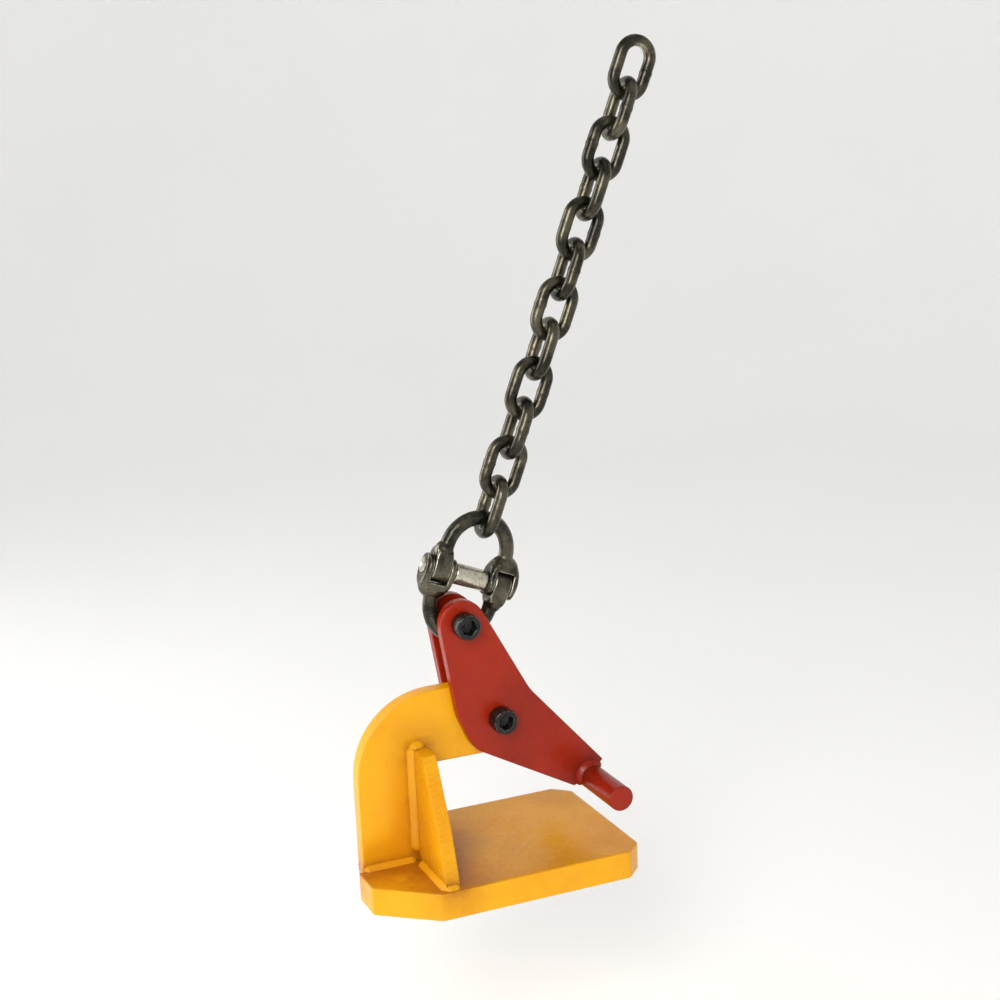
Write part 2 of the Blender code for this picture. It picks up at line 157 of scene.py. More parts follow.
def band_faces(rings, sides, ends="capped"):
    """Quads between neighbouring rings of points, whose ends are capped, open or joined to each other."""
    faces = []
    for i in range(rings if ends == "joined" else rings - 1):
        here, there = i * sides, (i + 1) % rings * sides
        for k in range(sides):
            after = (k + 1) % sides
            faces.append((here + k, here + after, there + after, there + k))
    if ends == "capped":
        faces.append(tuple(range(sides - 1, -1, -1)))
        faces.append(tuple(range((rings - 1) * sides, rings * sides)))
    return faces


def quarter_round(radius, steps):
    """(inset, drop) of the points over a rounded rim, from the end face to the side."""
    turns_over = [pi / 2 * i / steps for i in range(steps + 1)]
    return [(radius * (1 - sin(turn)), radius * (1 - cos(turn))) for turn in turns_over]


def store(mesh, name, values):
    """A float for each vertex, for the shaders to read."""
    layer = mesh.attributes.new(name, "FLOAT", "POINT")
    layer.data.foreach_set("value", np.asarray(values, dtype=np.float32))


def weight_normals(obj):
    mod = obj.modifiers.new("weighted", "WEIGHTED_NORMAL")
    mod.keep_sharp = True
    mod.weight = 80


def points_of(mesh):
    flat = np.empty(len(mesh.vertices) * 3, dtype=np.float32)
    mesh.vertices.foreach_get("co", flat)
    return flat.reshape(-1, 3)


def place_piece(obj, body, slot, node=None, matrix=None):
    """Puts a finished piece in the frame, with its slot's material, and hides the CAD node it stands for."""
    if matrix is not None:
        obj.data.transform(matrix)
    obj.data.materials.clear()
    obj.data.materials.append(MATERIALS[slot])
    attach(obj, body)
    if node:
        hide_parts(node)


def segment_distance(points, start, end):
    """Distance of each point from a straight segment."""
    way = end - start
    share = np.clip(((points - start) @ way) / (way @ way), 0, 1)
    return np.linalg.norm(points - (start + share[:, None] * way), axis=1)


UNWORN = 4.0                 # `edge` in millimetres on a piece with no rims to wear
NO_CREVICE = 50 * MM
TOP_SHADE_AND_GRIME = 0.22             # distances shrink to this share on a face given more painted shade and grime


def store_crevices(mesh, segments, matrix=None, shaded_and_grimy_above=None):
    """Millimetres from each vertex to the nearest inside corner, at most NO_CREVICE.

    Above the given height the distances shrink, so that the painted shade and grime spread further there.
    """
    points = points_of(mesh).astype(float)
    if matrix is not None:
        turn = np.array(matrix)
        points = points @ turn[:3, :3].T + turn[:3, 3]
    nearest = np.full(len(points), NO_CREVICE)
    for start, end in segments:
        nearest = np.minimum(nearest, segment_distance(points, np.array(start), np.array(end)))
    if shaded_and_grimy_above is not None:
        nearest = np.where(points[:, 2] > shaded_and_grimy_above, nearest * TOP_SHADE_AND_GRIME, nearest)
    store(mesh, "crevice", nearest / MM)


# -------------------- cut plates
CORNER = radians(24)         # an outline's turn sharper than this is a real corner
OUTLINE_STEP = 0.8 * MM
HOLE_STEP = 0.6 * MM
WALL_STEP = 1.3 * MM
CAP_SPACING = 3 * MM
ROUND_ROWS = 4
FACET_PASSES = 30            # of smoothing, enough to hide the CAD's facets
SMALLEST_TRIANGLE = 1e-3     # twice its area, in square millimetres


def flat_loops(node, axis):
    """The outline and holes of a plate's low face, anticlockwise in the two axes after `axis`."""
    mesh = frame["nodes"][node].data
    mesh.calc_loop_triangles()
    places = np.round(points_of(mesh).astype(float), 6)
    unique, index = np.unique(places, axis=0, return_inverse=True)
    index = index.reshape(-1)
    level = unique[:, axis].min()
    follow = {}
    for tri in mesh.loop_triangles:
        corners = [int(index[v]) for v in tri.vertices]
        if all(abs(unique[c, axis] - level) < 2e-6 for c in corners):
            for a, b in zip(corners, corners[1:] + corners[:1]):
                if a in follow.get(b, ()):
                    follow[b].discard(a)
                else:
                    follow.setdefault(a, set()).add(b)
    one, two = (axis + 1) % 3, (axis + 2) % 3
    loops = []
    left = {a: next(iter(b)) for a, b in follow.items() if b}
    while left:
        start = next(iter(left))
        loop = [start]
        here = left.pop(start)
        while here != start:
            loop.append(here)
            here = left.pop(here)
        loops.append(unique[loop[::-1]][:, [one, two]])
    loops.sort(key=lambda p: -np.ptp(p, axis=0).max())
    return loops


def turns(loop):
    """How far the loop turns at each point, in radians."""
    before = loop - np.roll(loop, 1, 0)
    after = np.roll(loop, -1, 0) - loop
    cross = before[:, 0] * after[:, 1] - before[:, 1] * after[:, 0]
    return np.arctan2(cross, (before * after).sum(1))


def even_spread(points, pinned):
    """The same loop with its points OUTLINE_STEP apart between the pinned ones."""
    first = int(np.argmax(pinned))
    points, pinned = np.roll(points, -first, 0), np.roll(pinned, -first)
    stops = [i for i in range(len(points)) if pinned[i] or i == 0]
    closed = np.concatenate([points, points[:1]])
    runs = []
    for i, j in zip(stops, stops[1:] + [len(points)]):
        run = closed[i:j + 1]
        way = np.concatenate([[0], np.cumsum(np.linalg.norm(np.diff(run, axis=0), axis=1))])
        steps = max(2, int(round(way[-1] / OUTLINE_STEP)))
        at = np.linspace(0, way[-1], steps + 1)[:-1]
        runs.append(np.stack([np.interp(at, way, run[:, 0]), np.interp(at, way, run[:, 1])], 1))
    return np.concatenate(runs)


def smoothed(points):
    """Each point moved halfway to the middle of its two neighbours."""
    return (np.roll(points, 1, 0) + np.roll(points, -1, 0)) / 4 + points / 2


def fine_loop(loop, rounding):
    """A loop at OUTLINE_STEP, its facets smoothed and its corners rounded a little."""
    sharp = np.abs(turns(loop)) > CORNER
    points, pinned = [], []
    for i, p in enumerate(loop):
        q = loop[(i + 1) % len(loop)]
        steps = max(2, int(round(np.linalg.norm(q - p) / OUTLINE_STEP)))
        for k in range(steps):
            points.append(p + (q - p) * k / steps)
            pinned.append(k == 0 and bool(sharp[i]))
    points, pinned = np.array(points), np.array(pinned)
    for _ in range(FACET_PASSES):
        points = np.where(pinned[:, None], points, smoothed(points))
    points = even_spread(points, pinned)
    for _ in range(rounding):
        points = smoothed(points)
    return points


def round_hole(loop):
    """A bolt hole as a true circle, run clockwise."""
    centre = loop.mean(0)
    radius = np.linalg.norm(loop - centre, axis=1).max()
    count = int(2 * pi * radius / HOLE_STEP)
    angles = -2 * pi * np.arange(count) / count
    return centre + radius * np.stack([np.cos(angles), np.sin(angles)], 1)


def outward(loop):
    """The unit normal at each point of a loop, away from the plate."""
    way = np.roll(loop, -1, 0) - np.roll(loop, 1, 0)
    way /= np.linalg.norm(way, axis=1)[:, None]
    return np.stack([way[:, 1], -way[:, 0]], 1)


def inside(points, loop):
    """Which points lie inside a closed loop."""
    x, y = points[:, 0:1], points[:, 1:2]
    x0, y0 = loop[:, 0], loop[:, 1]
    x1, y1 = np.roll(x0, -1), np.roll(y0, -1)
    cross = ((y0 > y) != (y1 > y)) & (x < (x1 - x0) * (y - y0) / (y1 - y0 + 1e-15) + x0)
    return cross.sum(1) % 2 == 1


def loop_distance(points, loops):
    """Distance of each point from the nearest loop point."""
    away = np.full(len(points), 1.0)
    for loop in loops:
        gap = np.linalg.norm(points[:, None, :] - loop[None, :, :], axis=2).min(1)
        away = np.minimum(away, gap)
    return away


def in_plate(points, loops):
    """Which points lie inside the outline and outside every hole."""
    within = inside(points, loops[0])
    for hole in loops[1:]:
        within &= ~inside(points, hole)
    return within


def cap_triangles(loops):
    """(points, triangles, count of loop points) of a flat face with holes, with inner points."""
    edge = np.concatenate(loops)
    low, high = loops[0].min(0), loops[0].max(0)
    grid = np.stack(np.meshgrid(np.arange(low[0], high[0], CAP_SPACING),
                                np.arange(low[1], high[1], CAP_SPACING)), -1).reshape(-1, 2)
    grid = grid[in_plate(grid, loops)]
    grid = grid[loop_distance(grid, loops) > 0.45 * CAP_SPACING]
    points = np.concatenate([edge, grid])
    ties, start = [], 0
    for loop in loops:
        count = len(loop)
        ties += [(start + i, start + (i + 1) % count) for i in range(count)]
        start += count
    found = geometry.delaunay_2d_cdt([Vector(p / MM) for p in points], ties, [], 0, 1e-5)
    origin = [o[0] if o else -1 for o in found[3]]
    faces = [[origin[v] for v in face] for face in found[2]]
    faces = [f for f in faces if min(f) >= 0 and len(set(f)) == 3]
    good = in_plate(np.array([points[f].mean(0) for f in faces]), loops)
    sides = points[np.array(faces)] / MM
    one, two = sides[:, 1] - sides[:, 0], sides[:, 2] - sides[:, 0]
    good &= np.abs(one[:, 0] * two[:, 1] - one[:, 1] * two[:, 0]) > SMALLEST_TRIANGLE
    return points, [f for f, g in zip(faces, good) if g], len(edge)


def drag_lines(along, level, thick, pitch, seed):
    """How deep a torch's drag lines cut, 0 to 1, at a place on a cut edge."""
    lag = 0.9 * (level / thick) ** 2
    wander = 1.4 * noise.noise(Vector((along / (9 * MM), level / (14 * MM), seed)))
    line = 0.5 + 0.5 * cos(2 * pi * (along / pitch + lag) + 2 * wander)
    rough = 0.55 + 0.45 * noise.noise(Vector((along / (3.1 * MM), level / (6 * MM), seed + 7.7)))
    return line ** 2.6 * max(0.0, rough)


def wall_rows(low, high, edge):
    """(inset, level) of each row of points up a plate's edge, its rims rounded by `edge`."""
    flat = high - low - 2 * edge
    steps = max(3, int(round(flat / WALL_STEP)))
    rows = [(inset, low + rise) for inset, rise in quarter_round(edge, ROUND_ROWS)]
    rows += [(0.0, low + edge + flat * i / steps) for i in range(1, steps)]
    return rows + [(inset, low + high - level) for inset, level in reversed(rows[:ROUND_ROWS + 1])]


def cut_plate(name, node, axis, edge, groove, pitch, corner=3, seed=1.0):
    """A plate cut from sheet: flat faces, rounded rims, and a torch's lines round its outer edge."""
    outer, *holes = flat_loops(node, axis)
    loops = [fine_loop(outer, corner)] + [round_hole(h) for h in holes]
    inner_loops = [loop - outward(loop) * edge for loop in loops]
    low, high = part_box(node)[0][axis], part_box(node)[1][axis]
    rows = wall_rows(low, high, edge)
    verts, edge_mm, faces, rims = [], [], [], []
    for number, loop in enumerate(loops):
        out, count, base = outward(loop), len(loop), len(verts)
        along = np.concatenate([[0], np.cumsum(np.linalg.norm(np.diff(loop, axis=0), axis=1))])
        for inset, level in rows:
            rim = 1 - inset / edge
            grooved = number == 0 and rim > 0.05
            for k in range(count):
                cut = inset
                if grooved:
                    cut += rim * groove * drag_lines(along[k], level - low, high - low, pitch, seed)
                verts.append((*(loop[k] - out[k] * cut), level))
                edge_mm.append(min(level - low, high - level) / MM)
        faces += [tuple(base + v for v in face) for face in band_faces(len(rows), count, "open")]
        rims += [(base + k, base + (len(rows) - 1) * count + k) for k in range(count)]
    points, triangles, rim_count = cap_triangles(inner_loops)
    away = loop_distance(points[rim_count:], inner_loops)
    for side, level in ((0, low), (1, high)):
        first = len(verts)
        verts += [(*p, level) for p in points[rim_count:]]
        edge_mm += [(d + edge) / MM for d in away]
        index = [ends[side] for ends in rims] + list(range(first, len(verts)))
        for a, b, c in triangles:
            faces.append((index[a], index[b], index[c]) if side else (index[c], index[b], index[a]))
    mesh = make_mesh(name, np.roll(np.array(verts), axis + 1, axis=1), faces, 50)
    store(mesh, "edge", edge_mm)
    obj = new_object(name, mesh)
    weight_normals(obj)
    return obj


# -------------------- weld beads
BEAD_SIDES = 9
BEAD_ROUND = 1.80            # 1 is a quarter circle, 2 a flat face
BEAD_STEP = 0.42 * MM
BEAD_SINK = 0.25 * MM        # how far a bead's rims and root go into the plates


def weld_bead(name, path, one, two, leg, seed, ripple=2.3 * MM):
    """A fillet bead along a path in the corner of two faces.

    `one` and `two` give, at each path point, the directions along the two faces away
    from the corner.  Overlapping crescents ride along it, and its ends taper off.
    """
    path = [Vector(p) for p in path]
    length = [0.0]
    for a, b in zip(path, path[1:]):
        length.append(length[-1] + (b - a).length)
    total = length[-1]
    steps = max(12, int(total / BEAD_STEP))
    verts, crevice = [], []
    for i in range(steps + 1):
        run = total * i / steps
        k = min(len(path) - 2, next((j for j in range(len(length) - 1) if length[j + 1] >= run), 0))
        share = (run - length[k]) / max(1e-9, length[k + 1] - length[k])
        spot = path[k].lerp(path[k + 1], share)
        u = Vector(one[k]).lerp(Vector(one[k + 1]), share).normalized()
        v = Vector(two[k]).lerp(Vector(two[k + 1]), share).normalized()
        to_end = max(0.0, min(run, total - run))
        taper = min(1.0, (to_end / (0.9 * leg)) ** 0.5) * 0.92 + 0.08
        wave = 1 + 0.08 * noise.noise(Vector((run / (12 * MM), seed, 3.1)))
        for j in range(BEAD_SIDES):
            turn = pi / 2 * j / (BEAD_SIDES - 1)
            bow = abs(2 * j / (BEAD_SIDES - 1) - 1)
            phase = run / ripple + 0.55 * bow * bow + 0.12 * noise.noise(Vector((run / (6 * MM), bow, seed)))
            crest = 0.035 * sin(pi * (phase % 1.0)) * (1 - 0.5 * bow)
            grain = 0.012 * noise.noise(spot * 400 + Vector((seed, 2 * bow, 0)))
            size = leg * taper * (wave + crest + grain)
            a, b = cos(turn) ** BEAD_ROUND, sin(turn) ** BEAD_ROUND
            if j == 0:
                b = -BEAD_SINK / leg
            if j == BEAD_SIDES - 1:
                a = -BEAD_SINK / leg
            verts.append(spot + u * size * a + v * size * b)
            # Painted shade: the toes are stored as lying close to a corner, so the enamel darkens them, while
            # the crown stays clean.
            crevice.append(1.5 + 12 * sin(pi * j / (BEAD_SIDES - 1)))
        verts.append(spot - (u + v) * BEAD_SINK)
        crevice.append(0.0)
    mesh = closed_mesh(name, verts, band_faces(steps + 1, BEAD_SIDES + 1), 80)
    store(mesh, "edge", [UNWORN] * len(verts))
    store(mesh, "crevice", crevice)
    return new_object(name, mesh)


# -------------------- turned pieces
def polar_shape(name, rows, segments, angle=35, ends="capped"):
    """A body round Z from rows of (radius or radius(theta), height)."""
    verts = []
    for radius, height in rows:
        for k in range(segments):
            theta = 2 * pi * k / segments
            r = radius(theta) if callable(radius) else radius
            verts.append((r * cos(theta), r * sin(theta), height))
    return closed_mesh(name, verts, band_faces(len(rows), segments, ends), angle)


def hexagon(flats):
    """Radius of a hexagon of this width across flats, at an angle."""
    return lambda theta: flats / 2 / cos((theta + pi / 6) % (pi / 3) - pi / 6)


def store_rim(mesh):
    """`edge` is 0 on vertices where the surface bends outward sharply, and 4.2 elsewhere."""
    bm = bmesh.new()
    bm.from_mesh(mesh)
    value = np.full(len(bm.verts), 4.2)
    for edge in bm.edges:
        if len(edge.link_faces) == 2 and edge.calc_face_angle_signed(0) > RIM_BEND:
            for v in edge.verts:
                value[v.index] = 0.0
    bm.free()
    store(mesh, "edge", value)
    return mesh


RIM_BEND = radians(20)
ON_AXIS = 0.02 * MM          # a radius small enough to close a turned piece's end
HEAD_RADIUS = 9.0 * MM
HEAD_HEIGHT = 11.8 * MM
SOCKET_FLATS = 10.0 * MM
SOCKET_DEPTH = 8.0 * MM
SHANK_RADIUS = 6.0 * MM
THREAD_PITCH = 1.75 * MM
NUT_FLATS = 18.0 * MM
NUT_HEIGHT = 10.0 * MM
WASHER_RADIUS = 12.0 * MM
WASHER_THICK = 2.5 * MM
BOLT_REACH = LEVER_FACE * 2 + WASHER_THICK + NUT_HEIGHT + 3.2 * MM


def bolt_mesh():
    """A socket-head bolt: its head's underside at 0, its head up +Z, its shank down."""
    rim, bare, chamfer = 1.1 * MM, HEAD_RADIUS - 0.25 * MM, 0.35 * MM
    socket = hexagon(SOCKET_FLATS)
    floor = HEAD_HEIGHT - SOCKET_DEPTH

    def knurled(theta):
        return HEAD_RADIUS - 0.22 * MM * (0.5 + 0.5 * cos(36 * theta)) ** 0.8

    def mouth(theta):
        return socket(theta) + chamfer

    rows = [(ON_AXIS, floor - 1.6 * MM), (socket, floor), (socket, HEAD_HEIGHT - 1.5 * MM),
            (socket, HEAD_HEIGHT - chamfer), (mouth, HEAD_HEIGHT), (6.5 * MM, HEAD_HEIGHT)]
    rows += [(bare - inset, HEAD_HEIGHT - drop) for inset, drop in quarter_round(rim, 4)]
    rows += [(bare, HEAD_HEIGHT - rim - 0.5 * MM), (knurled, HEAD_HEIGHT - rim - 0.8 * MM)]
    rows += [(knurled, 3.4 * MM), (knurled, 1.1 * MM), (bare, 0.8 * MM)]
    rows += [(HEAD_RADIUS - 0.3 * MM, 0.3 * MM), (HEAD_RADIUS - 0.7 * MM, 0.0), (SHANK_RADIUS, 0.0)]
    height = -(LEVER_FACE * 2 + WASHER_THICK)
    rows.append((SHANK_RADIUS, height))
    crest, root = SHANK_RADIUS - 0.02 * MM, SHANK_RADIUS - 0.8 * MM
    while height > -BOLT_REACH + 1.2 * MM:
        rows += [(crest, height - 0.1 * MM), (root, height - 0.75 * MM),
                 (root, height - 1.0 * MM), (crest, height - 1.65 * MM)]
        height -= THREAD_PITCH
    rows += [(SHANK_RADIUS - 1.1 * MM, -BOLT_REACH), (ON_AXIS, -BOLT_REACH)]
    return store_rim(polar_shape("bolt", rows, 144, 30))


def nut_mesh():
    """A hexagon nut from 0 to its height, chamfered at both ends, with a plain bore."""
    flat = hexagon(NUT_FLATS)
    chamfer = [0, 0.15, 0.35, 0.6, 0.85]

    def shaved(drop):
        limit = NUT_FLATS / 2 * 1.02 + drop * 1.9
        return lambda theta: min(flat(theta), limit)

    bore = SHANK_RADIUS + 0.15 * MM
    rows = [(bore, 0.0), (bore + 0.6 * MM, 0.0)]
    rows += [(shaved(d * MM), d * MM) for d in chamfer]
    rows += [(shaved(NUT_HEIGHT / 2), NUT_HEIGHT / 2)]
    rows += [(shaved(d * MM), NUT_HEIGHT - d * MM) for d in reversed(chamfer)]
    rows += [(bore + 0.7 * MM, NUT_HEIGHT), (bore, NUT_HEIGHT - 0.6 * MM), (bore, NUT_HEIGHT / 2)]
    return store_rim(polar_shape("nut", rows, 144, 28, "joined"))


def rounded_ring(name, inner, outer, low, high, rim):
    """A ring or sleeve with rounded rims, along Z."""
    rims = [(outer - inset, drop) for drop, inset in quarter_round(rim, 3)]
    rows = [(r, high - drop) for r, drop in reversed(rims)] + [(r, low + drop) for r, drop in rims]
    rows += [(inner + rim / 2, low), (inner, low + rim / 2), (inner, high - rim / 2), (inner + rim / 2, high)]
    return store_rim(polar_shape(name, rows, 96, ends="joined"))


# -------------------- chain link
LINK_STEPS = 26              # steps round each end of a link
SIDE_STEPS = 10              # steps along each straight side
WIRE_SIDES = 22
WIRE_SPARE = 0.09 * MM       # left off the wire's radius, so that its lumps stay inside the CAD's wire
WELD_REACH = 1.5 * MM
WELD_SWELL = 0.42 * MM


def link_path(bend, rise):
    """(x, z, outward angle) round a link's middle line, its ends bent at the radius `bend`."""
    path = []
    for side, start in ((1, 0.0), (-1, pi)):
        for i in range(LINK_STEPS + 1):
            angle = start + pi * i / LINK_STEPS
            path.append((bend * cos(angle), side * rise + bend * sin(angle), angle))
        for i in range(1, SIDE_STEPS):
            path.append((-side * bend, side * rise * (1 - 2 * i / SIDE_STEPS), start + pi))
    return path


def link_mesh(seed):
    """One welded link in X-Z with its weld on one side, its inner ends rubbed bright."""
    wire = CHAIN_WIRE / 2 - WIRE_SPARE
    bend = (CHAIN_WIDTH - CHAIN_WIRE) / 2
    rise = (CHAIN_PITCH + FIT + CHAIN_WIRE) / 2 - bend
    path = link_path(bend, rise)
    verts, rub_and_highlight = [], []
    for x, z, angle in path:
        out = Vector((cos(angle), 0, sin(angle)))
        on_weld = exp(-(z / WELD_REACH) ** 2) if x > 0.9 * bend else 0.0
        crown = max(0.0, abs(z) - rise) / bend
        for k in range(WIRE_SIDES):
            turn = 2 * pi * k / WIRE_SIDES
            way = out * cos(turn) + Y_AXIS * sin(turn)
            inner = max(0.0, -cos(turn))
            swell = WELD_SWELL * on_weld * (0.6 + 0.4 * abs(sin(turn)))
            spot = Vector((x, 0, z)) + way * wire
            lump = 0.07 * MM * noise.noise(spot * 260 + Vector((seed * 9, 0, 0)))
            verts.append(spot + way * (swell + lump - 0.10 * MM * crown * inner))
            rub_and_highlight.append(crown ** 2 * inner)
    mesh = closed_mesh(f"link_shape_{seed}", verts, band_faces(len(path), WIRE_SIDES, "joined"), 60)
    store(mesh, "rub_and_highlight", rub_and_highlight)
    store(mesh, "edge", [UNWORN] * len(verts))
    return mesh


# -------------------- forged link halves
def prism(name, outline, width, centre):
    """A lug: its outline in Y-Z, as wide as `width` along X, centred there."""
    verts = [(centre + side * width / 2, y, z) for side in (-1, 1) for y, z in outline]
    count = len(outline)
    faces = [tuple(range(count - 1, -1, -1)), tuple(range(count, 2 * count))]
    faces += [(k, (k + 1) % count, (k + 1) % count + count, k + count) for k in range(count)]
    return new_object(name, make_mesh(name, verts, faces))


def lug_outline(neck):
    """An eye round the pin whose sides run up to a narrower neck, in Y-Z."""
    eye = [(EYE_RADIUS * cos(radians(a)), EYE_RADIUS * sin(radians(a))) for a in range(-200, 21, 10)]
    side = EYE_RADIUS * 0.80
    return eye + [(side, neck), (side * 0.6, neck + 1.6 * MM), (-side * 0.6, neck + 1.6 * MM), (-side, neck)]


def tube(name, path, radius, sides):
    """A round bar along a path in the X-Z plane."""
    verts = []
    for i, spot in enumerate(path):
        way = (path[min(i + 1, len(path) - 1)] - path[max(i - 1, 0)]).normalized()
        flat = way.cross(Y_AXIS).normalized()
        verts += [spot + radius * (flat * cos(2 * pi * k / sides) + Y_AXIS * sin(2 * pi * k / sides))
                  for k in range(sides)]
    return new_object(name, closed_mesh(name, verts, band_faces(len(path), sides)))


def ellipsoid(name, centre, radii):
    bm = bmesh.new()
    bmesh.ops.create_uvsphere(bm, u_segments=40, v_segments=28, radius=1)
    bmesh.ops.scale(bm, vec=radii, verts=bm.verts)
    bmesh.ops.translate(bm, vec=centre, verts=bm.verts)
    mesh = bpy.data.meshes.new(name)
    bm.to_mesh(mesh)
    bm.free()
    return new_object(name, mesh)


def cut_with(obj, operation, tool):
    """Adds a Boolean modifier."""
    mod = obj.modifiers.new(tool.name, "BOOLEAN")
    mod.operation = operation
    mod.solver = "EXACT"
    mod.object = tool


def domed_lug(name, neck, width, centre):
    """A lug whose outer faces are domed, as a forging die leaves them."""
    lug = prism(name, lug_outline(neck), width, centre)
    dome = ellipsoid(name + "_dome", (centre, 0, 2 * MM), (width / 2 + 2.2 * MM, 13 * MM, 19 * MM))
    cut_with(lug, "INTERSECT", dome)
    return lug, dome


SKIN_VOXEL = 0.5 * MM
SKIN_PASSES = 14             # of smoothing, which rounds the corners between the solids
BOW_FOOT = 13 * MM           # the bow starts above this height


def half_solid(crown):
    """One dense skin over a half's bow, fork and tongue, its slot cut and its eyes drilled."""
    half = (HALF_WIDTH - HALF_WIRE) / 2
    spring, foot = 0.42 * crown, EYE_RADIUS + 1.2 * MM
    bend = [Vector((half * cos(pi * i / 40), 0, spring + (crown - spring) * sin(pi * i / 40)))
            for i in range(41)]
    bow = tube("half", [Vector((half, 0, foot))] + bend + [Vector((-half, 0, foot))], HALF_WIRE / 2, 32)
    middle = SLEEVE_LENGTH / 2 + FIT + EAR + FIT + TONGUE / 2
    fork, fork_dome = domed_lug("fork", 14.2 * MM, TONGUE + 2 * (EAR + FIT), middle)
    tongue, tongue_dome = domed_lug("tongue", 12.6 * MM, TONGUE, -middle)
    fork_neck = ellipsoid("fork_neck", (middle, 0, 13.5 * MM), (10.2 * MM, 7.6 * MM, 7.5 * MM))
    tongue_neck = ellipsoid("tongue_neck", (-middle, 0, 12.5 * MM), (6.8 * MM, 7.0 * MM, 8.0 * MM))
    top, beyond = EYE_RADIUS + FIT, 20 * MM
    slot = prism("slot", [(-beyond, -beyond), (beyond, -beyond), (beyond, top), (-beyond, top)],
                 TONGUE + 2 * FIT, middle)
    eye, drill_reach = PIN_RADIUS + FIT, 50 * MM
    drill = new_object("drill", polar_shape("drill", [(eye, drill_reach), (eye, -drill_reach)], 48))
    drill.rotation_euler = (0, pi / 2, 0)
    joined, cut_away = (fork, tongue, fork_neck, tongue_neck), (slot, drill)
    for tool in joined:
        cut_with(bow, "UNION", tool)
    for tool in cut_away:
        cut_with(bow, "DIFFERENCE", tool)
    remesh = bow.modifiers.new("remesh", "REMESH")
    remesh.mode = "VOXEL"
    remesh.voxel_size = SKIN_VOXEL
    relax = bow.modifiers.new("relax", "SMOOTH")
    relax.factor = 0.5
    relax.iterations = SKIN_PASSES
    bpy.context.view_layer.update()
    graph = bpy.context.evaluated_depsgraph_get()
    mesh = bpy.data.meshes.new_from_object(bow.evaluated_get(graph))
    for obj in (bow, fork_dome, tongue_dome, *joined, *cut_away):
        bpy.data.objects.remove(obj, do_unlink=True)
    return mesh


def half_mesh():
    """A forged half with its fork at +X and its tongue at -X, the pin along X at the origin."""
    crown = HALF_INNER + HALF_WIRE / 2
    mesh = half_solid(crown)
    points = points_of(mesh)
    normal = np.empty(len(mesh.vertices) * 3, dtype=np.float32)
    mesh.vertices.foreach_get("normal", normal)
    normal = normal.reshape(-1, 3)
    on_bow = points[:, 2] > BOW_FOOT
    flash = np.exp(-(points[:, 1] / (0.55 * MM)) ** 2) * on_bow * 0.22 * MM
    grain = np.array([noise.noise(Vector(p) * 300) for p in points]) * 0.09 * MM
    points = points + normal * (flash + grain)[:, None]
    mesh.vertices.foreach_set("co", points.astype(np.float32).ravel())
    mesh.update()
    mesh.shade_smooth()
    inner = np.clip((points[:, 2] - 0.75 * crown) / (0.25 * crown), 0, 1) * np.clip(-normal[:, 2], 0, 1)
    store(mesh, "rub_and_highlight", inner)
    store(mesh, "edge", curvature_edge(mesh))
    return mesh


def curvature_edge(mesh):
    """`edge` in millimetres for a dense mesh: small on convex rims, large elsewhere."""
    bm = bmesh.new()
    bm.from_mesh(mesh)
    bend = np.zeros(len(bm.verts))
    for v in bm.verts:
        around = [e.calc_face_angle_signed(0) for e in v.link_edges if len(e.link_faces) == 2]
        bend[v.index] = sum(around) / max(1, len(around))
    pairs = np.array([(e.verts[0].index, e.verts[1].index) for e in bm.edges])
    bm.free()
    for _ in range(3):
        total, count = bend.copy(), np.ones(len(bend))
        np.add.at(total, pairs[:, 0], bend[pairs[:, 1]])
        np.add.at(total, pairs[:, 1], bend[pairs[:, 0]])
        np.add.at(count, pairs.ravel(), 1)
        bend = total / count
    return np.clip(3.0 - (bend - 0.05) * 28, 0, 6)


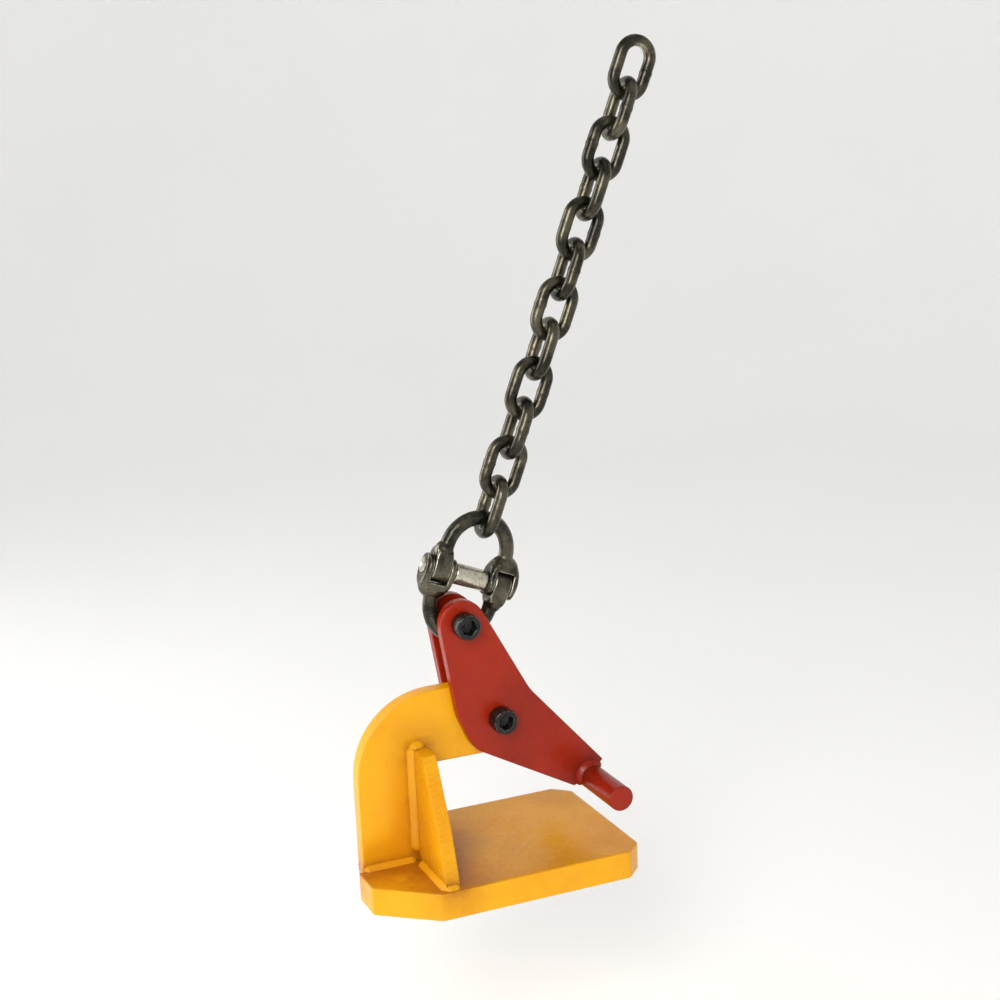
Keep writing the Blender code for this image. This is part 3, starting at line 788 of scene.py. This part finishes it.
# -------------------- materials
class Shader:
    """A small helper that adds and joins nodes of one material."""

    def __init__(self, name):
        self.material = bpy.data.materials.new(name)
        self.material.use_nodes = True
        self.tree = self.material.node_tree
        self.surface = self.tree.nodes["Principled BSDF"]
        coords = self.tree.nodes.new("ShaderNodeTexCoord")
        self.object_coords = coords.outputs["Object"]

    def add(self, kind, **inputs):
        node = self.tree.nodes.new(kind)
        for key, value in inputs.items():
            self.give(node, key.replace("_", " "), value)
        return node

    def give(self, node, key, value):
        socket = node.inputs[int(key)] if key.isdigit() else node.inputs[key]
        if isinstance(value, bpy.types.NodeSocket):
            self.tree.links.new(value, socket)
        else:
            socket.default_value = value

    def noise(self, scale, detail=3.0, rough=0.5, vector=None):
        node = self.add("ShaderNodeTexNoise", Scale=scale, Detail=detail, Roughness=rough)
        self.tree.links.new(vector or self.object_coords, node.inputs["Vector"])
        return node.outputs["Fac"]

    def stretched(self, scale):
        node = self.add("ShaderNodeMapping")
        self.tree.links.new(self.object_coords, node.inputs["Vector"])
        node.inputs["Scale"].default_value = scale
        return node.outputs["Vector"]

    def range(self, value, low, high, to_low=0.0, to_high=1.0):
        node = self.tree.nodes.new("ShaderNodeMapRange")
        node.interpolation_type = "SMOOTHSTEP"
        for key, given in (("Value", value), ("From Min", low), ("From Max", high),
                           ("To Min", to_low), ("To Max", to_high)):
            self.give(node, key, given)
        return node.outputs["Result"]

    def math(self, operation, one, two=0.0, clamp=False):
        node = self.tree.nodes.new("ShaderNodeMath")
        node.operation = operation
        node.use_clamp = clamp
        self.give(node, "0", one)
        self.give(node, "1", two)
        return node.outputs[0]

    def mix(self, share, one, two):
        node = self.tree.nodes.new("ShaderNodeMix")
        node.data_type = "RGBA"
        self.give(node, "0", share)
        self.give(node, "6", one)
        self.give(node, "7", two)
        return node.outputs[2]

    def attribute(self, name):
        node = self.tree.nodes.new("ShaderNodeAttribute")
        node.attribute_name = name
        return node.outputs["Fac"]

    def bump(self, height, strength, distance, normal=None):
        node = self.add("ShaderNodeBump", Strength=strength, Distance=distance, Height=height)
        if normal is not None:
            self.tree.links.new(normal, node.inputs["Normal"])
        return node.outputs["Normal"]

    def set(self, **inputs):
        for key, value in inputs.items():
            self.give(self.surface, key.replace("_", " "), value)


CHIP_REACH = 0.20            # scales how far wear goes in from a rim


def enamel(name, light, deep, dirt_and_shade, worn):
    """Glossy brushed enamel over plate: uneven film, painted shade and grime in inside corners, rubbed rims.
    """
    s = Shader(name)
    broad = s.noise(16.0, 3.0)
    blotch = s.noise(75.0, 4.0, 0.6)
    colour = s.mix(s.range(broad, 0.35, 0.68), light, deep)
    colour = s.mix(s.math("MULTIPLY", s.range(blotch, 0.48, 0.75), 0.35), colour, deep)
    # Painted shade and grime: the colour darkens towards the shade-and-dirt colour near inside corners,
    # broadly within 30 mm and raggedly close in.
    crevice = s.attribute("crevice")
    shade_and_grime_noise = s.noise(190.0, 5.0, 0.65)
    ragged = s.math("ADD", crevice, s.math("MULTIPLY", s.math("SUBTRACT", shade_and_grime_noise, 0.5), 9.0))
    shade_and_grime = s.range(ragged, 0.5, 8.5, 0.72, 0.0)
    colour = s.mix(s.range(crevice, 2.0, 30.0, 0.34, 0.0), colour, dirt_and_shade)
    colour = s.mix(shade_and_grime, colour, dirt_and_shade)
    speck = s.range(s.noise(620.0, 3.0, 0.7), 0.70, 0.76)
    colour = s.mix(s.math("MULTIPLY", speck, 0.45), colour, dirt_and_shade)
    edge = s.attribute("edge")
    chip_noise = s.noise(310.0, 6.0, 0.7)
    broad_chip = s.noise(42.0, 2.0)
    reach = s.math("MULTIPLY", s.range(broad_chip, 0.46, 0.66, 0.15, 1.0), CHIP_REACH)
    wear = s.math("MULTIPLY", reach, s.range(chip_noise, 0.45, 0.62))
    chip = s.range(s.math("SUBTRACT", wear, s.math("MULTIPLY", edge, 0.55)), 0.02, 0.16)
    colour = s.mix(chip, colour, worn)
    s.set(Base_Color=colour)
    gloss = s.range(s.noise(120.0, 4.0, 0.6), 0.3, 0.75, 0.20, 0.36)
    gloss = s.math("ADD", gloss, s.math("MULTIPLY", shade_and_grime, 0.25))
    gloss = s.math("ADD", gloss, s.math("MULTIPLY", chip, 0.2), clamp=True)
    s.set(Roughness=gloss, Metallic=s.math("MULTIPLY", chip, 0.75))
    s.set(Coat_Weight=0.06, Coat_Roughness=0.12, Specular_IOR_Level=0.22)
    peel = s.noise(520.0, 2.0, 0.5)
    run = s.noise(1.0, 3.0, 0.5, s.stretched((140, 140, 38)))
    height = s.math("ADD", s.math("MULTIPLY", peel, 0.35), s.math("MULTIPLY", run, 0.8))
    normal = s.bump(height, 0.30, 0.00030)
    drop = s.math("SUBTRACT", 1.0, chip)
    normal = s.bump(drop, 0.6, 0.00012, normal)
    s.set(Normal=normal)
    return s.material


def dark_steel(name, base, light, rub_and_highlight_colour, grain_scale=420.0):
    """Blackened alloy steel: scale, oil sheen, and a pale colour where links rub and rims wear, which is
    partly a painted highlight.
    """
    s = Shader(name)
    broad = s.noise(60.0, 4.0, 0.6)
    colour = s.mix(s.range(broad, 0.35, 0.70), base, light)
    rust = s.range(s.noise(240.0, 5.0, 0.7), 0.60, 0.74, 0.0, 0.35)
    colour = s.mix(rust, colour, (0.055, 0.026, 0.010, 1))
    rub_and_highlight = s.attribute("rub_and_highlight")
    edge = s.attribute("edge")
    scratch = s.noise(1.0, 4.0, 0.7, s.stretched((900, 900, 160)))
    # The pale colour is partly rubbed steel and partly a painted highlight.
    bright = s.math("ADD", s.range(rub_and_highlight, 0.25, 0.9, 0.0, 0.8), s.range(edge, 1.6, 0.2, 0.0, 0.5))
    bright = s.math("MULTIPLY", bright, s.range(scratch, 0.28, 0.52), clamp=True)
    colour = s.mix(bright, colour, rub_and_highlight_colour)
    s.set(Base_Color=colour)
    gloss = s.range(s.noise(170.0, 4.0, 0.65), 0.3, 0.7, 0.17, 0.36)
    gloss = s.math("SUBTRACT", gloss, s.math("MULTIPLY", bright, 0.08))
    s.set(Roughness=gloss, Metallic=0.85, Coat_Weight=0.3, Coat_Roughness=0.22)
    fine = s.noise(grain_scale, 4.0, 0.6)
    pits = s.range(s.noise(900.0, 2.0, 0.5), 0.30, 0.42)
    height = s.math("ADD", s.math("MULTIPLY", fine, 0.7), s.math("MULTIPLY", pits, 0.5))
    s.set(Normal=s.bump(height, 0.35, 0.00022))
    return s.material


def black_oxide(name):
    """Blackened bolts: fine, even, lighter on their rims, partly from wear and partly as a painted highlight.
    """
    s = Shader(name)
    cloud = s.noise(150.0, 4.0, 0.6)
    colour = s.mix(s.range(cloud, 0.3, 0.7), (0.010, 0.010, 0.011, 1), (0.026, 0.025, 0.024, 1))
    edge = s.attribute("edge")
    # Lighter rims: partly worn metal, partly a painted highlight.
    rim = s.math("MULTIPLY", s.range(edge, 1.5, 0.0, 0.0, 1.0), s.range(s.noise(700.0, 3.0), 0.45, 0.65))
    colour = s.mix(s.math("MULTIPLY", rim, 0.7), colour, (0.16, 0.15, 0.13, 1))
    s.set(Base_Color=colour, Metallic=0.8, Coat_Weight=0.25, Coat_Roughness=0.2)
    s.set(Roughness=s.range(s.noise(380.0, 4.0), 0.3, 0.7, 0.26, 0.42))
    s.set(Normal=s.bump(s.noise(1400.0, 3.0), 0.2, 0.0001))
    return s.material


def bronze(name):
    """Turned bronze, clouded and finely scored."""
    s = Shader(name)
    colour = s.mix(s.range(s.noise(90.0, 4.0), 0.35, 0.65), (0.42, 0.24, 0.085, 1), (0.26, 0.14, 0.05, 1))
    s.set(Base_Color=colour, Metallic=1.0, Roughness=s.range(s.noise(300.0, 4.0), 0.3, 0.7, 0.3, 0.5))
    s.set(Normal=s.bump(s.noise(1.0, 3.0, 0.6, s.stretched((200, 2400, 200))), 0.25, 0.0001))
    return s.material


MATERIALS = {                # by slot
    # Enamel colours: light and deep tones, the colour of painted shade and grime, the colour of chipped rims.
    "yellow_enamel": enamel("yellow_enamel", (0.84, 0.41, 0.005, 1), (0.76, 0.32, 0.004, 1),
                            (0.34, 0.095, 0.004, 1), (0.42, 0.18, 0.05, 1)),
    "red_enamel": enamel("red_enamel", (0.32, 0.017, 0.003, 1), (0.25, 0.012, 0.002, 1),
                         (0.08, 0.007, 0.004, 1), (0.20, 0.05, 0.03, 1)),
    # Steel colours: base and light tones, then the pale colour of rubbed steel and painted highlight.
    "chain": dark_steel("chain_steel", (0.014, 0.012, 0.007, 1), (0.11, 0.098, 0.062, 1),
                        (0.62, 0.58, 0.45, 1)),
    "connecting_link": dark_steel("forged_steel", (0.010, 0.009, 0.006, 1), (0.11, 0.100, 0.066, 1),
                                  (0.66, 0.62, 0.50, 1), grain_scale=520.0),
    "bolts": black_oxide("black_oxide"),
    "bush": bronze("bush_bronze"),
}


# -------------------- the pieces
def build_chain():
    shapes = [link_mesh(seed) for seed in range(3)]
    for number in range(CHAIN_LINKS, 0, -1):
        node = f"chain_link_{number:02d}"
        body = "top_link" if number == CHAIN_LINKS else f"link_{number:02d}"
        spin = radians(0 if number % 2 == 0 else 90) + pi * (number % 4 > 1)
        matrix = Matrix.Translation(box_centre(node)) @ LEG @ Matrix.Rotation(spin, 4, "Z")
        obj = new_object(node + "_forged", shapes[number % 3].copy())
        place_piece(obj, body, "chain", node, matrix)


def load_pin_mesh():
    """The load pin along Z, its ends rounded off, with a centre mark in each."""
    reach = 36.2 * MM
    rows = [(ON_AXIS, reach - 0.8 * MM), (1.4 * MM, reach), (PIN_RADIUS - 0.9 * MM, reach),
            (PIN_RADIUS - 0.1 * MM, reach - 0.7 * MM), (PIN_RADIUS, reach - 1.2 * MM)]
    return store_rim(polar_shape("load_pin", rows + [(r, -z) for r, z in reversed(rows)], 64))


def build_connecting_link():
    at_pin = Matrix.Translation(PIN) @ LEG
    shape = half_mesh()
    upper = new_object("upper_half_forged", shape.copy())
    place_piece(upper, "connecting_link", "connecting_link", "link_half_upper", at_pin)
    lower = new_object("lower_half_forged", shape)
    turned_over = at_pin @ Matrix.Rotation(pi, 4, "Y")
    place_piece(lower, "connecting_link_lower", "connecting_link", "link_half_lower", turned_over)
    half_sleeve = SLEEVE_LENGTH / 2
    sleeve = rounded_ring("sleeve", PIN_RADIUS + FIT, 7.4 * MM, -half_sleeve, half_sleeve, 0.9 * MM)
    # The load pin and sleeve get the pale colour all over: partly rubbed steel, partly a painted highlight.
    for name, node, mesh, rub_and_highlight in (("load_pin_turned", "link_load_pin", load_pin_mesh(), 0.55),
                                  ("pin_sleeve_turned", "link_pin_sleeve", sleeve, 1.0)):
        store(mesh, "rub_and_highlight", [rub_and_highlight] * len(mesh.vertices))
        obj = new_object(name, mesh)
        place_piece(obj, "connecting_link", "connecting_link", node, at_pin @ Matrix.Rotation(pi / 2, 4, "Y"))


def build_bolts():
    bolt, nut = bolt_mesh(), nut_mesh()
    washer = rounded_ring("washer", SHANK_RADIUS + 0.25 * MM, WASHER_RADIUS - 0.05 * MM, 0, WASHER_THICK,
                          0.35 * MM)
    to_near, to_far = Matrix.Rotation(pi / 2, 4, "X"), Matrix.Rotation(-pi / 2, 4, "X")
    far_face = LEVER_FACE + FIT
    for name, place, spin in (("shackle", SHACKLE, 0.3), ("pivot", PIVOT, 0.9)):
        turn = Matrix.Rotation(spin, 4, "Z")
        for part, mesh, y, matrix in (("bolt", bolt, -far_face, to_near @ turn),
                                      ("washer", washer, far_face, to_far),
                                      ("nut", nut, far_face + WASHER_THICK + FIT, to_far @ turn)):
            node = f"{name}_{part}"
            obj = new_object(node + "_turned", mesh.copy())
            seat = Matrix.Translation(place + Vector((0, y, 0)))
            place_piece(obj, "lever", "bolts", node, seat @ matrix)


def saddle_points(y, steps=10):
    """The arc on the bar's skin that a lever plate's coped tip sits on."""
    low, high = radians(212), radians(36)
    radius = BAR_RADIUS + 0.15 * MM
    angles = [low + (high - low) * i / steps for i in range(steps + 1)]
    return [(BAR.x + radius * cos(angle), y, BAR.z + radius * sin(angle)) for angle in angles]


def lever_corners(y):
    """Where a plate's tip meets the bar, as a chain of segments on one face."""
    points = saddle_points(y)
    return list(zip(points, points[1:]))


def build_lever():
    for side, name in ((-1, "near"), (1, "far")):
        node = "lever_plate_" + name
        outer, inner = side * LEVER_FACE, side * LEVER_GAP / 2
        obj = cut_plate(node + "_cut", node, 1, edge=0.8 * MM, groove=0.10 * MM, pitch=1.3 * MM,
                        seed=3.0 + side)
        # Painted shade and grime gather where the plate meets the bar.
        store_crevices(obj.data, lever_corners(outer) + lever_corners(inner))
        place_piece(obj, "lever", "red_enamel", node)
        weld_lever_tip(f"tip_weld_{name}_outer", outer, side, 3.4 * MM)
        weld_lever_tip(f"tip_weld_{name}_inner", inner, -side, 3.0 * MM)
    build_press_bar()


def weld_lever_tip(name, y, outward_y, leg):
    """The bead between one face of a lever plate and the press bar."""
    path = saddle_points(y, 24)
    one = [(0, outward_y, 0)] * len(path)
    two = [(Vector(p) - Vector((BAR.x, y, BAR.z))).normalized() for p in path]
    obj = weld_bead(name, path, one, two, leg, seed=y * 700, ripple=2.0 * MM)
    place_piece(obj, "lever", "red_enamel")


def build_press_bar():
    """The round bar, its ends sawn, and close rows between them to hold the crevice distances."""
    half = box_size("press_bar").y / 2
    rim = 0.9 * MM
    rows = [(0.3 * MM, half)]
    rows += [(r * MM, half - 0.03 * MM * (1 + sin(r * 2.2))) for r in (1.5, 3, 4.5, 6, 7.2)]
    rows += [(BAR_RADIUS - inset, half - drop - 0.03 * MM) for inset, drop in quarter_round(rim, 3)]
    rows += [(BAR_RADIUS, half - rim - 1 * MM - (half - 2 * MM) * i / 30) for i in range(31)]
    rows += [(r, -h) for r, h in reversed(rows)]
    mesh = polar_shape("press_bar", rows, 72, 40)
    points = points_of(mesh).astype(float)
    ends = np.minimum(np.abs(np.abs(points[:, 2]) - half), 1.0) / MM
    radial = np.hypot(points[:, 0], points[:, 1])
    store(mesh, "edge", np.where(radial > BAR_RADIUS - 1.4 * MM, ends, (BAR_RADIUS - radial) / MM))
    matrix = Matrix.Translation(BAR) @ Matrix.Rotation(pi / 2, 4, "X")
    segments = []
    for y in (-LEVER_FACE, -LEVER_GAP / 2, LEVER_GAP / 2, LEVER_FACE):
        segments += lever_corners(y)
    store_crevices(mesh, segments, matrix)
    obj = new_object("press_bar_turned", mesh)
    weight_normals(obj)
    place_piece(obj, "lever", "red_enamel", "press_bar", matrix)


def body_corners():
    """The inside corners of the welded body, where paint pools, grime stays and shade is painted in."""
    lines = []
    for side in (-1, 1):
        face, foot = side * BODY_FACE, side * GUSSET_FOOT
        lines += [((BACK_X, face, SEAT_Z), (GUSSET_BACK, face, SEAT_Z)),
                  ((GUSSET_BACK, face, SEAT_Z), (GUSSET_BACK, face, GUSSET_TOP)),
                  ((GUSSET_BACK, face, GUSSET_TOP), (GUSSET_STOP, face, GUSSET_TOP)),
                  ((GUSSET_BACK, face, SEAT_Z), (GUSSET_BACK, foot, SEAT_Z)),
                  ((GUSSET_BACK, foot, SEAT_Z), (GUSSET_STOP, foot, SEAT_Z)),
                  ((GUSSET_STOP, face, SEAT_Z), (GUSSET_STOP, foot, SEAT_Z))]
    return lines


def weld_body_side(side, name):
    """The beads on one side of the C plate."""
    face, foot, cope = side * BODY_FACE, side * GUSSET_FOOT, COPE * 0.8
    past, short = 1 * MM, 0.5 * MM
    out, up, back = (0, side, 0), (0, 0, 1), (-1, 0, 0)
    beads = [
        ("base_seam", (BACK_X, face, SEAT_Z), (GUSSET_BACK - past, face, SEAT_Z), out, up, 3.6),
        ("gusset_seam", (GUSSET_BACK, face, SEAT_Z + cope), (GUSSET_BACK, face, GUSSET_TOP + past),
         out, back, 4.3),
        ("gusset_crown", (GUSSET_BACK - 2 * MM, face, GUSSET_TOP), (GUSSET_STOP - short, face, GUSSET_TOP),
         out, up, 4.2),
        ("gusset_foot", (GUSSET_BACK, face + side * cope, SEAT_Z),
         (GUSSET_BACK, side * (GUSSET_FOOT + past), SEAT_Z), back, up, 3.6),
        ("gusset_end", (GUSSET_BACK - past, foot, SEAT_Z), (GUSSET_STOP - short, foot, SEAT_Z), out, up, 3.0),
    ]
    if side < 0:
        beads.append(("back_seam", (BACK_X, face, SEAT_Z - short), (BACK_X, face, BASE_UNDER + past),
                      back, (0, 1, 0), 3.2))
    for number, (title, start, end, one, two, leg) in enumerate(beads):
        obj = weld_bead(f"{title}_{name}", [start, end], [one, one], [two, two], leg * MM,
                        seed=side * 3 + number * 1.7)
        place_piece(obj, "clamp_body", "yellow_enamel")


def build_body():
    corners = body_corners()
    plate = cut_plate("body_plate_cut", "body_plate", 1, edge=1.1 * MM, groove=0.14 * MM, pitch=1.6 * MM)
    base = cut_plate("base_plate_cut", "base_plate", 2, edge=1.3 * MM, groove=0.12 * MM, pitch=1.7 * MM,
                     corner=5, seed=5.0)
    pieces = [(plate, "body_plate"), (base, "base_plate")]
    for name in ("near", "far"):
        node = "gusset_" + name
        gusset = cut_plate(node + "_cut", node, 0, edge=0.7 * MM, groove=1.15 * MM, pitch=3.8 * MM,
                           corner=2, seed=8.0 + len(name))
        pieces.append((gusset, node))
    for obj, node in pieces:
        # The base plate's top face gets its painted shade and grime further out from the corners.
        top = SEAT_Z - 0.5 * MM if node == "base_plate" else None
        store_crevices(obj.data, corners, shaded_and_grimy_above=top)
        place_piece(obj, "clamp_body", "yellow_enamel", node)
    weld_body_side(-1, "near")
    weld_body_side(1, "far")
    bush = rounded_ring("bush", SHANK_RADIUS + 0.25 * MM, 8.95 * MM, -BODY_FACE, BODY_FACE, 0.5 * MM)
    obj = new_object("pivot_bush_turned", bush)
    matrix = Matrix.Translation(PIVOT) @ Matrix.Rotation(pi / 2, 4, "X")
    place_piece(obj, "clamp_body", "bush", "pivot_bush", matrix)


# -------------------- the set
AZIMUTH, ELEVATION, ROLL = radians(-22.74), radians(12.97), radians(-2.53)
CAMERA_DISTANCE = 1.202
CAMERA_LENS = 63.0
AIM = Vector((-0.1155, 0.0, -0.2980))
FLOOR_DROP = 0.16
FLOOR_RADIUS = 2.2
WALL_CURVE = 1.6             # radius of the curve between floor and wall
WALL_TOP = 4.5
STAGE_SIDES = 96


def build_camera():
    """The camera where the photographer stood, aimed at the clamp."""
    back = Vector((sin(AZIMUTH) * cos(ELEVATION), -cos(AZIMUTH) * cos(ELEVATION), sin(ELEVATION)))
    cam = bpy.data.objects.new("camera", bpy.data.cameras.new("camera"))
    bpy.context.scene.collection.objects.link(cam)
    cam.data.sensor_width = 36
    cam.data.lens = CAMERA_LENS
    cam.data.clip_end = 60
    cam.location = AIM + back * CAMERA_DISTANCE
    level = (-back).to_track_quat("-Z", "Y").to_matrix().to_4x4()
    turn = level @ Matrix.Rotation(ROLL, 4, "Z")
    cam.rotation_euler = turn.to_euler()
    bpy.context.scene.camera = cam


def area_light(name, azimuth, elevation, distance, size, power, colour):
    """A rectangular light aimed at the clamp, from a bearing and a height in degrees."""
    a, e = radians(azimuth), radians(elevation)
    away = Vector((sin(a) * cos(e), -cos(a) * cos(e), sin(e)))
    data = bpy.data.lights.new(name, "AREA")
    data.shape = "RECTANGLE"
    data.size, data.size_y = size
    data.energy = power
    data.color = colour
    lamp = bpy.data.objects.new(name, data)
    bpy.context.scene.collection.objects.link(lamp)
    lamp.location = AIM + away * distance
    lamp.rotation_euler = away.to_track_quat("Z", "Y").to_euler()


def build_stage():
    """A pale floor that curves up into a wall all round."""
    floor_z = cad_box[0].z - FLOOR_DROP
    profile = [(FLOOR_RADIUS, 0.0)]
    for i in range(1, 13):
        turn = pi / 2 * i / 12
        profile.append((FLOOR_RADIUS + WALL_CURVE * sin(turn), WALL_CURVE * (1 - cos(turn))))
    profile.append((FLOOR_RADIUS + WALL_CURVE, WALL_TOP))
    round_it = [2 * pi * k / STAGE_SIDES for k in range(STAGE_SIDES)]
    verts = [(0, 0, floor_z)]
    for radius, height in profile:
        verts += [(radius * cos(angle), radius * sin(angle), floor_z + height) for angle in round_it]
    faces = [(0, 1 + k, 1 + (k + 1) % STAGE_SIDES) for k in range(STAGE_SIDES)]
    for r in range(len(profile) - 1):
        for k in range(STAGE_SIDES):
            a, b = 1 + r * STAGE_SIDES + k, 1 + r * STAGE_SIDES + (k + 1) % STAGE_SIDES
            faces.append((a, a + STAGE_SIDES, b + STAGE_SIDES, b))
    mesh = make_mesh("stage", verts, faces, 60)
    s = Shader("stage")
    s.set(Base_Color=s.mix(s.noise(3.0, 2.0), (0.86, 0.86, 0.85, 1), (0.82, 0.82, 0.815, 1)), Roughness=0.85)
    s.set(Emission_Color=(1, 1, 1, 1), Emission_Strength=0.20)
    mesh.materials.append(s.material)
    new_object("stage", mesh)


def build_lights():
    world = bpy.data.worlds.new("studio")
    bpy.context.scene.world = world
    world.use_nodes = True
    background = world.node_tree.nodes["Background"]
    background.inputs["Color"].default_value = (1, 1, 1, 1)
    background.inputs["Strength"].default_value = 0.30
    area_light("key", -38, 26, 1.9, (0.7, 1.0), 24, (1.0, 0.96, 0.90))
    area_light("edge", -128, 14, 1.7, (0.5, 1.5), 16, (1.0, 0.99, 0.97))
    area_light("top", 20, 80, 1.9, (1.2, 1.2), 2, (1.0, 1.0, 1.0))


build_camera()
build_stage()
build_lights()
build_chain()
build_connecting_link()
build_bolts()
build_lever()
build_body()
bpy.context.scene.view_settings.view_transform = "Standard"
